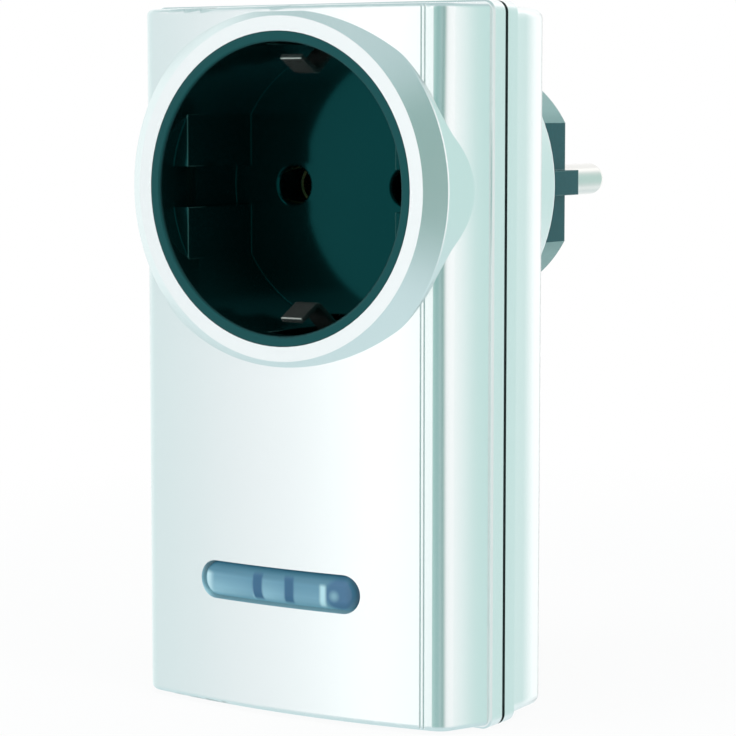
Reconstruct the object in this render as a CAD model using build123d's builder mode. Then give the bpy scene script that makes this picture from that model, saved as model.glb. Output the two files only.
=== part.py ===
"""Plug-in dimmer with a through socket, as separate pieces in millimetres.

Depths are measured back from the front of the collar, and heights up from the axis that the socket and the
plug share. The origin lies on that axis, at the plug's rear face, midway between the pins. Z is up and the
face looks along -Y.
"""
from build123d import *
import math
import os

# Case, outside
body_width = 55.8
body_height = 97.1
axis_below_top = 25.0
face_depth = 0.65
face_bow_radius = 117.0
side_slant = 66.4
corner_round = 3.1
rim_round = 0.8
belt_step = 0.5
belt_bevel = 0.25
belt_front_depth = 9.95
belt_rear_depth = 16.0
belt_corner = 1.6
split_depth = 13.5
seam_gap = 0.7
seam_depth = 1.1
rear_face_depth = 24.9
rear_draft = 1.8
rear_corner = 1.7
rear_round = 1.2
face_groove_width = 0.22
face_groove_depth = 0.2
face_groove_inner = 21.2
face_groove_pitch = 0.5

# Case, inside
wall = 2.0
tongue_thickness = 0.9
tongue_length = 1.6
fit_gap = 0.05
free_gap = 0.15
overrun = 5.0

# Collar and socket
collar_front_radius = 23.15
collar_edge_radius = 25.8
collar_edge_depth = 2.15
collar_edge_round = 0.3
skirt_draft = 6.0
insert_radius = 21.1
recess_radius = 19.7
recess_depth = 17.9
recess_lip_round = 0.35
floor_thickness = 2.0
tube_radius = 22.95
tube_end_depth = 10.0
insert_flange_radius = 22.3
insert_flange_thickness = 1.5
guide_half = 17.0
guide_depth = 3.0
guide_groove = 5.6
guide_round = 0.4
pin_spacing = 19.0
pin_radius = 2.4
pin_length = 19.0
pin_hole_radius = 2.7
pin_hole_flare = 0.3
tunnel_radius = 4.2
tunnel_length = 4.0
tunnel_cup_length = 3.1

# Earth straps
clip_slot_width = 6.4
clip_slot_depth = 2.4
clip_slot_inner_radius = 18.0
clip_width = 3.4
clip_thickness = 0.7
clip_slot_outer_radius = 20.6
clip_arm_height = 20.0
clip_tip_height = 17.8
clip_tip_depth = 3.6
clip_bow_height = 15.7
clip_bow_depth = 7.6
clip_root_depth = 13.5
clip_bend = 1.2
plug_strap_width = 5.4
plug_strap_thickness = 0.8
plug_strap_height = 16.3
plug_strap_end_gap = 1.4
plug_strap_bend = 1.5
rivet_radius = 1.0
rivet_head_radius = 1.9
rivet_head_thickness = 0.6

# Boss and plug
boss_radius = 23.4
boss_face_depth = 34.8
boss_round = 0.5
plug_radius = 17.5
plug_face_depth = 52.5
plug_flat_half = 15.2
plug_rib_width = 3.6
plug_rib_radius = 17.45
plug_edge_round = 0.4
plug_flange_radius = 19.4
plug_flange_thickness = 1.6
plug_bore_radius = 15.3
plug_bore_half_width = 13.0
plug_bore_half_height = 13.9
plug_floor = 6.0
plug_channel_width = 6.0
pin_tip_round = 1.7
pin_root_radius = 2.7
pin_collar_radius = 3.4
pin_collar_thickness = 1.6
pin_tail_radius = 1.5
pin_tail_length = 5.0
retainer_thickness = 2.0
retainer_half_height = 8.0

# Contacts
contact_inner_radius = 2.5
contact_thickness = 0.6
contact_length = 9.0
contact_slit = 0.9
contact_tail_width = 4.0
contact_tail_drop = 5.0
contact_tail_gap = 0.6

# Case screws and their posts
screw_side_inset = 3.6
screw_top_inset = 3.2
screw_base_inset = 3.3
post_radius = 3.0
post_lap = 0.65
screw_seat_depth = 17.0
screw_hole_radius = 1.55
screw_bore_radius = 2.7
rear_post_radius = 3.5
screw_shank_radius = 1.3
screw_tip_depth = 5.5
screw_tip_gap = 0.5
screw_head_radius = 2.4
screw_head_height = 1.8
screw_slot_width = 0.7
screw_slot_depth = 0.9
screw_slot_length = 3.0

# Circuit board and the pillars that clamp it
board_front_depth = 10.4
board_thickness = 1.6
board_side_gap = 1.2
board_top_gap = 2.5
board_base_gap = 0.4
board_corner = 1.0
board_notch_gap = 0.4
pillar_radius = 2.0
pillar_side_inset = 3.4
pillar_top_inset = 3.2
pillar_base_inset = 12.2

# Learn button
button_x = -0.7
button_above_base = 18.0
button_length = 26.2
button_width = 5.0
button_gap = 0.15
button_crown_depth = 0.75
button_crown_round = 1.5
button_seat_depth = 4.2
button_seat_gap = 0.1
button_flange_margin = 1.2
button_flange_thickness = 1.0
button_skin = 1.9
button_side_wall = 0.8
seat_margin = 3.0
window_left = -12.4
first_rib_left = -4.3
first_rib_right = -2.6
second_rib_left = 1.7
second_rib_right = 3.0
light_block_left = 7.2
light_pocket_x = 10.0
light_pocket_radius = 1.75
light_pocket_top_depth = 2.9
push_pad_radius = 1.5

# Learn switch and status lamp
switch_x = 2.35
switch_side = 6.0
switch_height = 3.5
switch_corner = 0.7
switch_hole_depth = 2.0
plunger_radius = 1.75
plunger_gap = 0.05
plunger_inner_length = 0.9
plunger_round = 0.3
lamp_radius = 1.5
lamp_tip_depth = 3.6
lamp_length = 5.3
lamp_rim_radius = 1.9
lamp_rim_thickness = 1.0
lamp_leg_width = 0.5
lamp_leg_spacing = 2.54
lamp_dome_round = 1.4

# Power parts behind the board: insets are from the board's nearer side, heights from the socket's axis
stack_height = 10.0
sink_side_inset = 12.2
sink_height = -52.5
sink_width = 16.0
sink_length = 17.0
sink_thickness = 1.5
sink_stand = 8.6
triac_side_inset = 13.7
triac_top_height = -44.6
triac_width = 10.0
triac_length = 9.2
triac_thickness = 4.4
triac_tab_length = 6.0
triac_tab_thickness = 1.3
triac_leg_width = 0.8
triac_leg_thickness = 0.5
triac_leg_spacing = 2.54
triac_leg_length = 2.4
triac_leg_setback = 2.6
triac_screw_radius = 1.5
triac_screw_head_radius = 2.7
triac_screw_head_height = 2.0
triac_tab_hole_radius = 1.75
choke_side_inset = 11.7
choke_height = -40.0
choke_inner_radius = 5.2
choke_outer_radius = 8.2
choke_thickness = 5.4
choke_round = 0.6
winding_thickness = 0.8
winding_arc = 300.0
filter_x = 8.0
filter_height = -37.5
filter_width = 18.0
filter_length = 8.0
dropper_side_inset = 13.2
dropper_height = -56.0
dropper_width = 13.0
dropper_length = 6.0
block_round = 0.8
smoothing_x = -1.0
smoothing_height = -48.0
smoothing_radius = 3.2
smoothing_groove = 0.4
smoothing_groove_rise = 1.6
absorber_x = 3.0
absorber_height = -30.0
absorber_radius = 4.0
absorber_thickness = 3.6
absorber_lift = 1.5
absorber_round = 1.0
wire_leg_radius = 0.4
absorber_leg_spacing = 5.0
fuse_side_inset = 11.7
fuse_height = -28.0
fuse_radius = 1.8
fuse_length = 10.0
fuse_lift = 1.2
fuse_cap_length = 2.2
fuse_cap_step = 0.2

# Low parts in front of the board
chip_x = -10.0
chip_height = -40.0
chip_width = 8.8
chip_length = 6.0
chip_thickness = 1.5
chip_lift = 0.2
chip_legs = 7
chip_leg_spacing = 1.27
chip_leg_width = 0.45
chip_leg_length = 1.0
receiver_x = 11.0
receiver_height = -38.0
receiver_width = 18.0
receiver_length = 12.0
receiver_thickness = 1.0
receiver_lift = 1.4
receiver_pins = 5
receiver_pin_spacing = 2.54
receiver_pin_width = 0.6
receiver_chip_side = 5.0
receiver_chip_thickness = 1.2
aerial_height = -29.5
aerial_length = 16.0
aerial_radius = 2.2
aerial_lift = 0.5

# Leads: insulation, and the places of their turns, across and up
lead_radius = 1.1
arc_share = 0.45
lead_wall_gap = 0.4
lead_setback = 3.4
lug_turn_height = -7.0
tail_turn_height = -13.5
link_height = -6.0
live_in_bore_place = (5.6, -11.3)
live_in_exit_place = (7.0, -17.0)
live_in_board_place = (9.0, -30.0)
live_out_exit_place = (10.6, -17.2)
live_out_board_place = (13.5, -31.0)
neutral_exit_place = (-7.0, -19.0)
neutral_board_place = (-5.0, -28.0)


def y_of(depth):
    """Y of a depth behind the collar's front."""
    return depth - plug_face_depth


def facing(depth, height=0):
    """Upright plane that looks to the front, so that a negative amount builds towards the rear."""
    return Plane(origin=(0, y_of(depth), height), x_dir=(1, 0, 0), z_dir=(0, -1, 0))


base = axis_below_top - body_height
top = axis_below_top
middle = (top + base) / 2
side_half = body_width / 2 - belt_step
core_base = base + belt_step
core_top = top - belt_step
core_height = core_top - core_base
hollow_half = side_half - wall
hollow_height = core_height - 2 * wall
button_height = base + button_above_base
post_split_depth = split_depth + post_lap
screw_x = hollow_half - screw_side_inset
screw_top_height = core_top - wall - screw_top_inset
screw_base_height = core_base + wall + screw_base_inset
screw_places = [(x, h) for x in (-screw_x, screw_x) for h in (screw_base_height, screw_top_height)]
board_half = hollow_half - board_side_gap
board_top = -insert_flange_radius - board_top_gap
board_base = core_base + wall + board_base_gap
pillar_x = board_half - pillar_side_inset
pillar_top_height = board_top - pillar_top_inset
pillar_base_height = board_base + pillar_base_inset
pillar_places = [
    (-pillar_x, pillar_top_height),
    (pillar_x, pillar_top_height),
    (-pillar_x, pillar_base_height),
]
choke_x = choke_side_inset - board_half
dropper_x = dropper_side_inset - board_half
fuse_x = fuse_side_inset - board_half
sink_x = board_half - sink_side_inset
triac_x = board_half - triac_side_inset


def face_plan(inset, rear_depth, height):
    """Plan of the front half: slanted sides, bowed face and rounded corners, all drawn in by inset."""
    reach = (belt_front_depth + overrun) / math.tan(math.radians(side_slant))
    nose_half = side_half - reach
    with BuildSketch(Plane.XY.offset(height)) as plan:
        with BuildLine():
            Polyline(
                (-side_half, y_of(rear_depth)),
                (-side_half, y_of(belt_front_depth)),
                (-nose_half, y_of(-overrun)),
                (nose_half, y_of(-overrun)),
                (side_half, y_of(belt_front_depth)),
                (side_half, y_of(rear_depth)),
                close=True,
            )
        make_face()
        with Locations((0, y_of(face_depth) + face_bow_radius)):
            Circle(face_bow_radius, mode=Mode.INTERSECT)
        fillet(plan.vertices().group_by(Axis.Y)[0], corner_round)
        if inset:
            offset(amount=-inset)
    return plan.sketch


def face_at(x):
    """Depth of the bowed face at a distance from the middle."""
    return face_depth + face_bow_radius - math.sqrt(face_bow_radius**2 - x**2)


def spots(depth, places, radius):
    """Round spots of one radius at places across an upright plane."""
    with BuildSketch(facing(depth)) as round_spots:
        with Locations(*places):
            Circle(radius)
    return round_spots.sketch


def finish(piece, label):
    """Label a finished piece and write it."""
    piece.label = label
    export_step(piece, f"parts/{label}.step")


os.makedirs("parts", exist_ok=True)

# Collar: a flaring cone, then a drafted skirt that dies into the sides, trimmed under the top rim
skirt_length = belt_front_depth - collar_edge_depth
skirt_end_radius = collar_edge_radius + skirt_length * math.tan(math.radians(skirt_draft))
with BuildPart() as collar:
    with BuildSketch(Plane.XY):
        with BuildLine():
            Polyline(
                (0, y_of(0)),
                (collar_front_radius, y_of(0)),
                (collar_edge_radius, y_of(collar_edge_depth)),
                (skirt_end_radius, y_of(belt_front_depth)),
                (0, y_of(belt_front_depth)),
                close=True,
            )
        make_face()
    revolve(axis=Axis.Y)
    rings = collar.edges().filter_by(GeomType.CIRCLE)
    fillet(rings.filter_by(lambda ring: abs(ring.radius - collar_edge_radius) < fit_gap), collar_edge_round)
    split(bisect_by=Plane.XY.offset(core_top - rim_round), keep=Keep.BOTTOM)

# Posts and pillars that grow from the face, trimmed to stay within its skin
post_spots = spots(face_depth, screw_places, post_radius)
pillar_spots = spots(face_depth, pillar_places, pillar_radius)
skin_plan = face_plan(wall / 2, split_depth + overrun, core_base)
with BuildPart() as face_posts:
    extrude(post_spots, amount=-(post_split_depth - face_depth))
    extrude(pillar_spots, amount=-(board_front_depth - face_depth))
    extrude(skin_plan, amount=core_height, mode=Mode.INTERSECT)

# Front half of the case
with BuildPart() as front_shell:
    extrude(face_plan(0, split_depth, core_base), amount=core_height)
    rims = front_shell.edges().group_by(Axis.Z)[0] + front_shell.edges().group_by(Axis.Z)[-1]
    fillet(rims.filter_by(lambda rim: rim.center().Y < y_of(split_depth) - fit_gap), rim_round)
    # Two fine grooves down the right of the face
    with BuildSketch(Plane.XY.offset(base)):
        for groove_x in (face_groove_inner, face_groove_inner + face_groove_pitch):
            groove_floor = face_at(groove_x) + face_groove_depth
            with Locations((groove_x, y_of(groove_floor))):
                Rectangle(face_groove_width, groove_floor, align=(Align.CENTER, Align.MAX))
    extrude(amount=body_height, mode=Mode.SUBTRACT)
    with BuildSketch(facing(belt_front_depth + belt_bevel, middle)) as belt_outline:
        RectangleRounded(body_width, body_height, belt_corner)
    extrude(amount=-(split_depth - belt_front_depth - belt_bevel))
    extrude(belt_outline.sketch, amount=belt_bevel, taper=45)
    add(collar.part)
    hollow_plan = face_plan(wall, split_depth + overrun, core_base + wall)
    extrude(hollow_plan, amount=hollow_height, mode=Mode.SUBTRACT)
    # Tube that holds the socket insert
    with BuildSketch(facing(collar_edge_depth)):
        Circle(tube_radius)
    extrude(amount=-(tube_end_depth - collar_edge_depth))
    with BuildSketch(facing(-overrun)):
        Circle(insert_radius + fit_gap)
    extrude(amount=-(tube_end_depth + 2 * overrun), mode=Mode.SUBTRACT)
    # Seat of the button, then its opening
    with BuildSketch(facing(button_seat_depth)):
        with Locations((button_x, button_height)):
            SlotOverall(button_length + 2 * seat_margin, button_width + 2 * seat_margin)
    extrude(amount=button_seat_depth - wall)
    with BuildSketch(facing(-overrun)):
        with Locations((button_x, button_height)):
            SlotOverall(button_length + 2 * button_gap, button_width + 2 * button_gap)
    extrude(amount=-(split_depth + overrun), mode=Mode.SUBTRACT)
    add(face_posts.part)
    extrude(
        spots(post_split_depth, screw_places, screw_shank_radius),
        amount=post_split_depth - screw_tip_depth + screw_tip_gap,
        mode=Mode.SUBTRACT,
    )
    # Rebate for the rear half's tongue, and the open seam round the belt
    with BuildSketch(facing(split_depth, middle)):
        rebate = tongue_thickness + fit_gap
        Rectangle(2 * (hollow_half + rebate), hollow_height + 2 * rebate)
        Rectangle(2 * hollow_half, hollow_height, mode=Mode.SUBTRACT)
    extrude(amount=tongue_length + fit_gap, mode=Mode.SUBTRACT)
    with BuildSketch(facing(split_depth, middle)):
        Rectangle(body_width + overrun, body_height + overrun)
        seam_width, seam_height = body_width - 2 * seam_depth, body_height - 2 * seam_depth
        RectangleRounded(seam_width, seam_height, belt_corner, mode=Mode.SUBTRACT)
    extrude(amount=seam_gap, mode=Mode.SUBTRACT)
finish(front_shell.part, "front_shell")


def plug_outline(depth, clearance):
    """Outline of the plug: a circle cut by two flats, with a rib standing on each flat."""
    with BuildSketch(facing(depth)) as outline:
        Circle(plug_radius + clearance)
        Rectangle(2 * (plug_flat_half + clearance), 2 * (plug_radius + clearance), mode=Mode.INTERSECT)
        Rectangle(2 * (plug_rib_radius + clearance), plug_rib_width + 2 * clearance)
    return outline.sketch


# Rear half of the case, with the boss, the tongue, the screw wells and the pillars
rear_inner_depth = rear_face_depth - wall
boss_inner_depth = boss_face_depth - wall
with BuildPart() as rear_shell:
    with BuildSketch(facing(belt_rear_depth, middle)):
        RectangleRounded(2 * side_half, core_height, rear_corner)
    extrude(amount=-(rear_face_depth - belt_rear_depth), taper=rear_draft)
    fillet(rear_shell.faces().sort_by(Axis.Y)[-1].edges(), rear_round)
    with BuildSketch(facing(split_depth, middle)):
        RectangleRounded(body_width, body_height, belt_corner)
    extrude(amount=-(belt_rear_depth - split_depth))
    with BuildSketch(facing(rear_inner_depth)):
        Circle(boss_radius)
    extrude(amount=-(boss_face_depth - rear_inner_depth))
    fillet(rear_shell.faces().sort_by(Axis.Y)[-1].edges(), boss_round)
    with BuildSketch(facing(split_depth, middle)):
        Rectangle(2 * hollow_half, hollow_height)
    extrude(amount=-(rear_inner_depth - split_depth), taper=rear_draft, mode=Mode.SUBTRACT)
    with BuildSketch(facing(split_depth)):
        Circle(boss_radius - wall)
    extrude(amount=-(boss_inner_depth - split_depth), mode=Mode.SUBTRACT)
    extrude(
        plug_outline(split_depth, free_gap),
        amount=-(boss_face_depth + overrun - split_depth),
        mode=Mode.SUBTRACT,
    )
    with BuildSketch(facing(split_depth, middle)):
        Rectangle(2 * (hollow_half + tongue_thickness), hollow_height + 2 * tongue_thickness)
        Rectangle(2 * hollow_half, hollow_height, mode=Mode.SUBTRACT)
    extrude(amount=tongue_length)
    extrude(
        spots(post_split_depth, screw_places, rear_post_radius),
        amount=-(rear_inner_depth - post_split_depth),
    )
    extrude(
        spots(board_front_depth + board_thickness, pillar_places, pillar_radius),
        amount=-(rear_inner_depth - board_front_depth - board_thickness),
    )
    extrude(
        spots(post_split_depth, screw_places, screw_hole_radius),
        amount=-(rear_face_depth - post_split_depth),
        mode=Mode.SUBTRACT,
    )
    extrude(
        spots(screw_seat_depth, screw_places, screw_bore_radius),
        amount=-(rear_face_depth + overrun - screw_seat_depth),
        mode=Mode.SUBTRACT,
    )
finish(rear_shell.part, "rear_shell")

# Socket insert: a cup with side guides, slots for the earth clips and a tunnel behind each pin hole
floor_back_depth = recess_depth + floor_thickness
cup_depth = floor_back_depth + tunnel_length
contact_radius = contact_inner_radius + contact_thickness
pin_places = [(-pin_spacing / 2, 0), (pin_spacing / 2, 0)]
slot_rise = clip_slot_outer_radius - clip_slot_inner_radius
slot_centre = (clip_slot_outer_radius + clip_slot_inner_radius) / 2
with BuildPart() as socket_insert:
    with BuildSketch(facing(0)):
        Circle(insert_radius)
    extrude(amount=-floor_back_depth)
    with BuildSketch(facing(tube_end_depth)):
        Circle(insert_flange_radius)
    extrude(amount=-insert_flange_thickness)
    extrude(spots(floor_back_depth, pin_places, tunnel_radius), amount=-(tunnel_length + tunnel_cup_length))
    with BuildSketch(facing(0)):
        Circle(recess_radius)
    extrude(amount=-recess_depth, mode=Mode.SUBTRACT)
    mouth = socket_insert.faces().sort_by(Axis.Y)[0].edges().sort_by(SortBy.LENGTH)[0]
    fillet(mouth, recess_lip_round)
    with BuildSketch(facing(guide_depth)):
        Circle(recess_radius + fit_gap)
        Rectangle(2 * guide_half, 2 * insert_radius, mode=Mode.SUBTRACT)
        Rectangle(2 * insert_radius, guide_groove, mode=Mode.SUBTRACT)
    extrude(amount=-(recess_depth - guide_depth))
    with BuildSketch(facing(clip_slot_depth)):
        with Locations((0, slot_centre), (0, -slot_centre)):
            Rectangle(clip_slot_width, slot_rise)
    extrude(amount=-(floor_back_depth - clip_slot_depth + overrun), mode=Mode.SUBTRACT)
    extrude(
        spots(recess_depth, pin_places, pin_hole_radius),
        amount=-(tunnel_length + overrun),
        mode=Mode.SUBTRACT,
    )
    extrude(
        spots(cup_depth, pin_places, contact_radius + fit_gap),
        amount=-(tunnel_cup_length + overrun),
        mode=Mode.SUBTRACT,
    )
    rings = socket_insert.edges().filter_by(GeomType.CIRCLE)
    hole_rings = rings.filter_by(lambda ring: abs(ring.radius - pin_hole_radius) < fit_gap)
    chamfer(hole_rings.group_by(Axis.Y)[0], pin_hole_flare)
    with BuildSketch(facing(floor_back_depth - rivet_head_thickness - free_gap)):
        Circle(rivet_head_radius + free_gap)
    extrude(amount=-(rivet_head_thickness + free_gap + overrun), mode=Mode.SUBTRACT)
finish(socket_insert.part, "socket_insert")

# Earth straps: one strip bent into both clips of the socket, a second into both side contacts of the plug
socket_bridge_depth = floor_back_depth + fit_gap + clip_thickness / 2
plug_bridge_depth = socket_bridge_depth + (clip_thickness + plug_strap_thickness) / 2
plug_strap_end_depth = plug_face_depth - plug_strap_end_gap


def strap(label, half_path, bend, thickness, width):
    """Sheet strap across the object, symmetrical above and below the axis, with a rivet hole in its bridge."""
    above = [(y_of(depth), height) for depth, height in half_path]
    below = [(y_of(depth), -height) for depth, height in reversed(half_path)]
    with BuildPart() as strip:
        with BuildSketch(Plane.YZ):
            with BuildLine():
                FilletPolyline(*above, *below, radius=bend)
            trace(line_width=thickness)
        extrude(amount=width / 2, both=True)
        with BuildSketch(facing(0)):
            Circle(rivet_radius + fit_gap)
        extrude(amount=-plug_face_depth, mode=Mode.SUBTRACT)
    finish(strip.part, label)


strap(
    "socket_earth_strap",
    [
        (clip_tip_depth, clip_tip_height),
        (clip_bow_depth, clip_bow_height),
        (clip_root_depth, clip_arm_height),
        (socket_bridge_depth, clip_arm_height),
    ],
    clip_bend,
    clip_thickness,
    clip_width,
)
strap(
    "plug_earth_strap",
    [(plug_strap_end_depth, plug_strap_height), (plug_bridge_depth, plug_strap_height)],
    plug_strap_bend,
    plug_strap_thickness,
    plug_strap_width,
)

# Rivet through the bridges of both straps
rivet_front_depth = socket_bridge_depth - clip_thickness / 2
rivet_back_depth = plug_bridge_depth + plug_strap_thickness / 2
with BuildPart() as earth_rivet:
    rivet_length = rivet_back_depth - rivet_front_depth
    extrude(spots(rivet_front_depth, [(0, 0)], rivet_radius), amount=-rivet_length)
    extrude(spots(rivet_front_depth, [(0, 0)], rivet_head_radius), amount=rivet_head_thickness)
    extrude(spots(rivet_back_depth, [(0, 0)], rivet_head_radius), amount=-rivet_head_thickness)
    head_rims = earth_rivet.edges().filter_by(GeomType.CIRCLE).group_by(Axis.Y)
    chamfer(head_rims[0] + head_rims[-1], rivet_head_thickness / 2)
finish(earth_rivet.part, "earth_rivet")

# Plug body: flange held inside the boss, bore for the pins and a channel for each arm of the strap
flange_front_depth = boss_inner_depth - plug_flange_thickness
floor_front_depth = plug_face_depth - plug_floor
channel_floor = plug_strap_height - plug_strap_thickness / 2 - fit_gap
with BuildPart() as plug_body:
    extrude(plug_outline(flange_front_depth, 0), amount=-(plug_face_depth - flange_front_depth))
    fillet(plug_body.faces().sort_by(Axis.Y)[-1].edges(), plug_edge_round)
    with BuildSketch(facing(flange_front_depth)):
        Circle(plug_flange_radius)
    extrude(amount=-plug_flange_thickness)
    with BuildSketch(facing(flange_front_depth)):
        Circle(plug_bore_radius)
        Rectangle(2 * plug_bore_half_width, 2 * plug_bore_half_height, mode=Mode.INTERSECT)
    extrude(amount=-(floor_front_depth - flange_front_depth), mode=Mode.SUBTRACT)
    extrude(
        spots(floor_front_depth, pin_places, pin_root_radius + fit_gap),
        amount=-plug_face_depth,
        mode=Mode.SUBTRACT,
    )
    with BuildSketch(facing(flange_front_depth)):
        with Locations((0, channel_floor)):
            Rectangle(plug_channel_width, plug_radius, align=(Align.CENTER, Align.MIN))
        with Locations((0, -channel_floor)):
            Rectangle(plug_channel_width, plug_radius, align=(Align.CENTER, Align.MAX))
    extrude(amount=-plug_face_depth, mode=Mode.SUBTRACT)
finish(plug_body.part, "plug_body")

# Pins, each with a collar behind the plug's floor and a tail for its lead
pin_collar_depth = floor_front_depth - pin_collar_thickness
tail_front_depth = pin_collar_depth - pin_tail_length


def plug_pin(label, x):
    """Round pin with a domed tip and a thicker root, which ends flush with the plug's face."""
    with BuildPart() as pin:
        extrude(spots(floor_front_depth, [(x, 0)], pin_radius), amount=-(plug_floor + pin_length))
        fillet(pin.edges().filter_by(GeomType.CIRCLE).sort_by(Axis.Y)[-1], pin_tip_round)
        extrude(spots(floor_front_depth, [(x, 0)], pin_root_radius), amount=-plug_floor)
        extrude(spots(pin_collar_depth, [(x, 0)], pin_collar_radius), amount=-pin_collar_thickness)
        extrude(spots(pin_collar_depth, [(x, 0)], pin_tail_radius), amount=pin_tail_length)
    finish(pin.part, label)


plug_pin("live_pin", pin_spacing / 2)
plug_pin("neutral_pin", -pin_spacing / 2)

# Plate that keeps both pins against the plug's floor
with BuildPart() as pin_retainer:
    with BuildSketch(facing(pin_collar_depth)):
        RectangleRounded(2 * (plug_bore_half_width - fit_gap), 2 * retainer_half_height, board_corner)
        with Locations(*pin_places):
            Circle(pin_tail_radius + fit_gap, mode=Mode.SUBTRACT)
    extrude(amount=retainer_thickness)
finish(pin_retainer.part, "pin_retainer")

# Contacts: slit sleeves in the cups of the insert, each with a tail for its lead
tail_depth = cup_depth + tunnel_cup_length + contact_tail_gap
tail_end_height = -(contact_radius + contact_tail_drop)


def contact(label, x):
    """Slit sleeve that grips a pin, with a flat tail hanging below it."""
    with BuildPart() as sleeve:
        with BuildSketch(facing(cup_depth)):
            with Locations((x, 0)):
                Circle(contact_radius)
                Circle(contact_inner_radius, mode=Mode.SUBTRACT)
                Rectangle(contact_slit, contact_radius, align=(Align.CENTER, Align.MIN), mode=Mode.SUBTRACT)
        extrude(amount=-contact_length)
        with BuildSketch(facing(tail_depth)):
            with Locations((x, 0)):
                Rectangle(contact_tail_width, -tail_end_height, align=(Align.CENTER, Align.MAX))
                Circle(contact_inner_radius, mode=Mode.SUBTRACT)
        extrude(amount=-contact_thickness)
    finish(sleeve.part, label)


contact("live_contact", pin_spacing / 2)
contact("neutral_contact", -pin_spacing / 2)

# Case screws, driven from the back into the posts of the front half
with BuildPart() as case_screws:
    shank_length = screw_seat_depth - screw_tip_depth
    extrude(spots(screw_tip_depth, screw_places, screw_shank_radius), amount=-shank_length)
    extrude(spots(screw_seat_depth, screw_places, screw_head_radius), amount=-screw_head_height)
    with BuildSketch(facing(screw_seat_depth + screw_head_height)):
        with Locations(*screw_places):
            Rectangle(screw_slot_length, screw_slot_width)
            Rectangle(screw_slot_width, screw_slot_length)
    extrude(amount=screw_slot_depth, mode=Mode.SUBTRACT)
finish(case_screws.part, "case_screws")

# Circuit board, notched round the lower posts and clamped by the pillars
board_back_depth = board_front_depth + board_thickness
with BuildPart() as circuit_board:
    with BuildSketch(facing(board_front_depth, (board_top + board_base) / 2)):
        RectangleRounded(2 * board_half, board_top - board_base, board_corner)
    extrude(amount=-board_thickness)
    with BuildSketch(facing(board_front_depth)):
        with Locations(*screw_places):
            Rectangle(2 * (post_radius + board_notch_gap), 2 * (post_radius + board_notch_gap))
    extrude(amount=-board_thickness, mode=Mode.SUBTRACT)
finish(circuit_board.part, "circuit_board")

# Learn button: one translucent pill with a bowed crown, ribbed pockets behind it and a pocket for the lamp
button_back_depth = button_seat_depth + button_seat_gap + button_flange_thickness
pocket_top_depth = button_crown_depth + button_skin
with BuildPart() as learn_button:
    with BuildSketch(facing(button_back_depth)):
        with Locations((button_x, button_height)):
            SlotOverall(button_length, button_width)
    extrude(amount=button_back_depth + overrun)
    with BuildSketch(Plane.XY.offset(base)):
        with Locations((0, y_of(button_crown_depth) + face_bow_radius)):
            Circle(face_bow_radius)
    extrude(amount=body_height, mode=Mode.INTERSECT)
    crown_edges = learn_button.edges().filter_by(lambda edge: edge.center().Y < y_of(pocket_top_depth))
    fillet(crown_edges, button_crown_round)
    with BuildSketch(facing(button_back_depth)):
        with Locations((button_x, button_height)):
            SlotOverall(button_length + 2 * button_flange_margin, button_width + 2 * button_flange_margin)
    extrude(amount=button_flange_thickness)
    pocket_width = button_width - 2 * button_side_wall
    with BuildSketch(facing(button_back_depth)):
        with Locations((button_x, button_height)):
            SlotOverall(button_length - 2 * button_side_wall, pocket_width)
        for left, right in ((first_rib_left, first_rib_right), (second_rib_left, second_rib_right)):
            with Locations(((left + right) / 2, button_height)):
                Rectangle(right - left, button_width, mode=Mode.SUBTRACT)
        with Locations((light_block_left, button_height)):
            Rectangle(button_length, button_width, align=(Align.MIN, Align.CENTER), mode=Mode.SUBTRACT)
    extrude(amount=button_back_depth - pocket_top_depth, mode=Mode.SUBTRACT)
    extrude(
        spots(button_back_depth, [(switch_x, button_height)], push_pad_radius),
        amount=button_back_depth - pocket_top_depth,
    )
    extrude(
        spots(button_back_depth, [(light_pocket_x, button_height)], light_pocket_radius),
        amount=button_back_depth - light_pocket_top_depth,
        mode=Mode.SUBTRACT,
    )
finish(learn_button.part, "learn_button")

# Switch under the button, and its plunger
switch_top_depth = board_front_depth - switch_height
plunger_end_depth = switch_top_depth + plunger_inner_length
switch_place = [(switch_x, button_height)]
with BuildPart() as switch_body:
    with BuildSketch(facing(switch_top_depth)):
        with Locations(*switch_place):
            RectangleRounded(switch_side, switch_side, switch_corner)
            Circle(plunger_radius + plunger_gap, mode=Mode.SUBTRACT)
    extrude(amount=-switch_hole_depth)
    with BuildSketch(facing(switch_top_depth + switch_hole_depth)):
        with Locations(*switch_place):
            RectangleRounded(switch_side, switch_side, switch_corner)
    extrude(amount=-(switch_height - switch_hole_depth))
finish(switch_body.part, "switch_body")
with BuildPart() as switch_plunger:
    plunger_top_depth = button_back_depth + plunger_gap
    plunger_length = plunger_end_depth - plunger_top_depth
    extrude(spots(plunger_top_depth, switch_place, plunger_radius), amount=-plunger_length)
    fillet(switch_plunger.edges().filter_by(GeomType.CIRCLE).sort_by(Axis.Y)[0], plunger_round)
finish(switch_plunger.part, "switch_plunger")

# Status lamp, standing in the button's lamp pocket
lamp_place = [(light_pocket_x, button_height)]
lamp_base_depth = lamp_tip_depth + lamp_length
with BuildPart() as status_led:
    extrude(spots(lamp_tip_depth, lamp_place, lamp_radius), amount=-lamp_length)
    fillet(status_led.edges().filter_by(GeomType.CIRCLE).sort_by(Axis.Y)[0], lamp_dome_round)
    extrude(spots(lamp_base_depth, lamp_place, lamp_rim_radius), amount=lamp_rim_thickness)
    with BuildSketch(facing(lamp_base_depth)):
        with Locations(*lamp_place):
            with GridLocations(lamp_leg_spacing, lamp_leg_width, 2, 1):
                Rectangle(lamp_leg_width, lamp_leg_width)
    extrude(amount=-(board_front_depth - lamp_base_depth))
finish(status_led.part, "status_led")

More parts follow.
